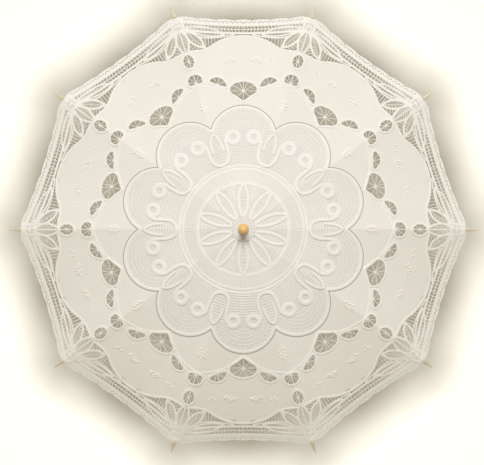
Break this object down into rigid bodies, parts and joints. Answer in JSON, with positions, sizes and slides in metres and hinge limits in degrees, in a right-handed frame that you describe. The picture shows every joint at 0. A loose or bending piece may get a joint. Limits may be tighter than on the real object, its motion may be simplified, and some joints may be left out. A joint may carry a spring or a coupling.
{
  "type": "lace parasol",
  "caption": "Folding lace parasol: a round cloth canopy on hinged ribs and stretchers that fold along a wooden stick.",
  "frame": {"origin": "middle of the hand grip, on the axis of the stick", "axes": "+Z along the stick from the grip to the ferrule, +X towards the first rib's tip"},
  "size_m": [0.8226, 0.7824, 0.6428],
  "materials": {
    "shaft_wood": "clear varnished turned beech",
    "ferrule_wood": "varnished honey coloured wood",
    "tip_wood": "pale waxed wood",
    "rib_steel": "white enamel on drawn steel wire",
    "plain_steel": "drawn wire",
    "catch_brass": "pressed strip",
    "fitting_plastic": "moulded off-white plastic",
    "lace_cloth": "white cotton and tape lace",
    "rosette_cloth": "white cotton, doubled"
  },
  "bodies": {
    "stick": {"shaft": "shaft_wood", "handle": "shaft_wood", "ferrule": "ferrule_wood", "crown_notch": "fitting_plastic", "crown_wire": "plain_steel", "crown_rosette": "rosette_cloth"},
    "rib_unit_01": {"rib_01": "rib_steel", "rib_tip_01": "tip_wood", "canopy_petal_01": "lace_cloth"},
    "stretcher_unit_01": {"stretcher_01": "rib_steel", "rivet_01": "plain_steel"},
    "rib_unit_02": {"rib_02": "rib_steel", "rib_tip_02": "tip_wood", "canopy_petal_02": "lace_cloth"},
    "stretcher_unit_02": {"stretcher_02": "rib_steel", "rivet_02": "plain_steel"},
    "rib_unit_03": {"rib_03": "rib_steel", "rib_tip_03": "tip_wood", "canopy_petal_03": "lace_cloth"},
    "stretcher_unit_03": {"stretcher_03": "rib_steel", "rivet_03": "plain_steel"},
    "rib_unit_04": {"rib_04": "rib_steel", "rib_tip_04": "tip_wood", "canopy_petal_04": "lace_cloth"},
    "stretcher_unit_04": {"stretcher_04": "rib_steel", "rivet_04": "plain_steel"},
    "rib_unit_05": {"rib_05": "rib_steel", "rib_tip_05": "tip_wood", "canopy_petal_05": "lace_cloth"},
    "stretcher_unit_05": {"stretcher_05": "rib_steel", "rivet_05": "plain_steel"},
    "rib_unit_06": {"rib_06": "rib_steel", "rib_tip_06": "tip_wood", "canopy_petal_06": "lace_cloth"},
    "stretcher_unit_06": {"stretcher_06": "rib_steel", "rivet_06": "plain_steel"},
    "rib_unit_07": {"rib_07": "rib_steel", "rib_tip_07": "tip_wood", "canopy_petal_07": "lace_cloth"},
    "stretcher_unit_07": {"stretcher_07": "rib_steel", "rivet_07": "plain_steel"},
    "rib_unit_08": {"rib_08": "rib_steel", "rib_tip_08": "tip_wood", "canopy_petal_08": "lace_cloth"},
    "stretcher_unit_08": {"stretcher_08": "rib_steel", "rivet_08": "plain_steel"},
    "rib_unit_09": {"rib_09": "rib_steel", "rib_tip_09": "tip_wood", "canopy_petal_09": "lace_cloth"},
    "stretcher_unit_09": {"stretcher_09": "rib_steel", "rivet_09": "plain_steel"},
    "rib_unit_10": {"rib_10": "rib_steel", "rib_tip_10": "tip_wood", "canopy_petal_10": "lace_cloth"},
    "stretcher_unit_10": {"stretcher_10": "rib_steel", "rivet_10": "plain_steel"},
    "runner_unit": {"runner": "fitting_plastic", "runner_wire": "plain_steel"},
    "top_catch_lever": {"top_catch": "catch_brass"},
    "bottom_catch_lever": {"bottom_catch": "catch_brass"}
  },
  "joints": [
    {"name": "rib_01_fold", "type": "hinge", "parent": "stick", "child": "rib_unit_01", "pos_m": [0.0115, 0, 0.53672], "axis": [0, 1, 0], "range_deg": [0, 69.31], "deforming": ["canopy_petal_01"]},
    {"name": "rib_02_fold", "type": "hinge", "parent": "stick", "child": "rib_unit_02", "pos_m": [0.0093, 0.00676, 0.53672], "axis": [-0.5878, 0.809, 0], "range_deg": [0, 69.31], "deforming": ["canopy_petal_02"]},
    {"name": "rib_03_fold", "type": "hinge", "parent": "stick", "child": "rib_unit_03", "pos_m": [0.00355, 0.01094, 0.53672], "axis": [-0.9511, 0.309, 0], "range_deg": [0, 69.31], "deforming": ["canopy_petal_03"]},
    {"name": "rib_04_fold", "type": "hinge", "parent": "stick", "child": "rib_unit_04", "pos_m": [-0.00355, 0.01094, 0.53672], "axis": [-0.9511, -0.309, 0], "range_deg": [0, 69.31], "deforming": ["canopy_petal_04"]},
    {"name": "rib_05_fold", "type": "hinge", "parent": "stick", "child": "rib_unit_05", "pos_m": [-0.0093, 0.00676, 0.53672], "axis": [-0.5878, -0.809, 0], "range_deg": [0, 69.31], "deforming": ["canopy_petal_05"]},
    {"name": "rib_06_fold", "type": "hinge", "parent": "stick", "child": "rib_unit_06", "pos_m": [-0.0115, 0, 0.53672], "axis": [0, -1, 0], "range_deg": [0, 69.31], "deforming": ["canopy_petal_06"]},
    {"name": "rib_07_fold", "type": "hinge", "parent": "stick", "child": "rib_unit_07", "pos_m": [-0.0093, -0.00676, 0.53672], "axis": [0.5878, -0.809, 0], "range_deg": [0, 69.31], "deforming": ["canopy_petal_07"]},
    {"name": "rib_08_fold", "type": "hinge", "parent": "stick", "child": "rib_unit_08", "pos_m": [-0.00355, -0.01094, 0.53672], "axis": [0.9511, -0.309, 0], "range_deg": [0, 69.31], "deforming": ["canopy_petal_08"]},
    {"name": "rib_09_fold", "type": "hinge", "parent": "stick", "child": "rib_unit_09", "pos_m": [0.00355, -0.01094, 0.53672], "axis": [0.9511, 0.309, 0], "range_deg": [0, 69.31], "deforming": ["canopy_petal_09"]},
    {"name": "rib_10_fold", "type": "hinge", "parent": "stick", "child": "rib_unit_10", "pos_m": [0.0093, -0.00676, 0.53672], "axis": [0.5878, 0.809, 0], "range_deg": [0, 69.31], "deforming": ["canopy_petal_10"]},
    {"name": "stretcher_01_fold", "type": "hinge", "parent": "rib_unit_01", "child": "stretcher_unit_01", "pos_m": [0.20774, 0, 0.49065], "axis": [0, 1, 0], "range_deg": [-138.62, 0]},
    {"name": "stretcher_02_fold", "type": "hinge", "parent": "rib_unit_02", "child": "stretcher_unit_02", "pos_m": [0.16806, 0.1221, 0.49065], "axis": [-0.5878, 0.809, 0], "range_deg": [-138.62, 0]},
    {"name": "stretcher_03_fold", "type": "hinge", "parent": "rib_unit_03", "child": "stretcher_unit_03", "pos_m": [0.06419, 0.19757, 0.49065], "axis": [-0.9511, 0.309, 0], "range_deg": [-138.62, 0]},
    {"name": "stretcher_04_fold", "type": "hinge", "parent": "rib_unit_04", "child": "stretcher_unit_04", "pos_m": [-0.06419, 0.19757, 0.49065], "axis": [-0.9511, -0.309, 0], "range_deg": [-138.62, 0]},
    {"name": "stretcher_05_fold", "type": "hinge", "parent": "rib_unit_05", "child": "stretcher_unit_05", "pos_m": [-0.16806, 0.1221, 0.49065], "axis": [-0.5878, -0.809, 0], "range_deg": [-138.62, 0]},
    {"name": "stretcher_06_fold", "type": "hinge", "parent": "rib_unit_06", "child": "stretcher_unit_06", "pos_m": [-0.20774, 0, 0.49065], "axis": [0, -1, 0], "range_deg": [-138.62, 0]},
    {"name": "stretcher_07_fold", "type": "hinge", "parent": "rib_unit_07", "child": "stretcher_unit_07", "pos_m": [-0.16806, -0.1221, 0.49065], "axis": [0.5878, -0.809, 0], "range_deg": [-138.62, 0]},
    {"name": "stretcher_08_fold", "type": "hinge", "parent": "rib_unit_08", "child": "stretcher_unit_08", "pos_m": [-0.06419, -0.19757, 0.49065], "axis": [0.9511, -0.309, 0], "range_deg": [-138.62, 0]},
    {"name": "stretcher_09_fold", "type": "hinge", "parent": "rib_unit_09", "child": "stretcher_unit_09", "pos_m": [0.06419, -0.19757, 0.49065], "axis": [0.9511, 0.309, 0], "range_deg": [-138.62, 0]},
    {"name": "stretcher_10_fold", "type": "hinge", "parent": "rib_unit_10", "child": "stretcher_unit_10", "pos_m": [0.16806, -0.1221, 0.49065], "axis": [0.5878, 0.809, 0], "range_deg": [-138.62, 0]},
    {"name": "runner_travel", "type": "hinge", "parent": "stretcher_unit_01", "child": "runner_unit", "pos_m": [0.0115, 0, 0.44458], "axis": [0, 1, 0], "range_deg": [0, 69.31]},
    {"name": "top_catch_press", "type": "hinge", "parent": "stick", "child": "top_catch_lever", "pos_m": [0.00323, 0.00105, 0.40323], "axis": [-0.309, 0.9511, 0], "range_deg": [-7.5, 0], "stiffness_Nm_per_rad": 0.6},
    {"name": "bottom_catch_press", "type": "hinge", "parent": "stick", "child": "bottom_catch_lever", "pos_m": [0.00323, 0.00105, 0.13035], "axis": [-0.309, 0.9511, 0], "range_deg": [0, 7.5], "stiffness_Nm_per_rad": 0.6}
  ],
  "couplings": [
    {"joint": "rib_02_fold", "follows": "rib_01_fold", "ratio": 1},
    {"joint": "rib_03_fold", "follows": "rib_01_fold", "ratio": 1},
    {"joint": "rib_04_fold", "follows": "rib_01_fold", "ratio": 1},
    {"joint": "rib_05_fold", "follows": "rib_01_fold", "ratio": 1},
    {"joint": "rib_06_fold", "follows": "rib_01_fold", "ratio": 1},
    {"joint": "rib_07_fold", "follows": "rib_01_fold", "ratio": 1},
    {"joint": "rib_08_fold", "follows": "rib_01_fold", "ratio": 1},
    {"joint": "rib_09_fold", "follows": "rib_01_fold", "ratio": 1},
    {"joint": "rib_10_fold", "follows": "rib_01_fold", "ratio": 1},
    {"joint": "stretcher_01_fold", "follows": "rib_01_fold", "ratio": -2},
    {"joint": "stretcher_02_fold", "follows": "rib_01_fold", "ratio": -2},
    {"joint": "stretcher_03_fold", "follows": "rib_01_fold", "ratio": -2},
    {"joint": "stretcher_04_fold", "follows": "rib_01_fold", "ratio": -2},
    {"joint": "stretcher_05_fold", "follows": "rib_01_fold", "ratio": -2},
    {"joint": "stretcher_06_fold", "follows": "rib_01_fold", "ratio": -2},
    {"joint": "stretcher_07_fold", "follows": "rib_01_fold", "ratio": -2},
    {"joint": "stretcher_08_fold", "follows": "rib_01_fold", "ratio": -2},
    {"joint": "stretcher_09_fold", "follows": "rib_01_fold", "ratio": -2},
    {"joint": "stretcher_10_fold", "follows": "rib_01_fold", "ratio": -2},
    {"joint": "runner_travel", "follows": "rib_01_fold", "ratio": 1}
  ]
}
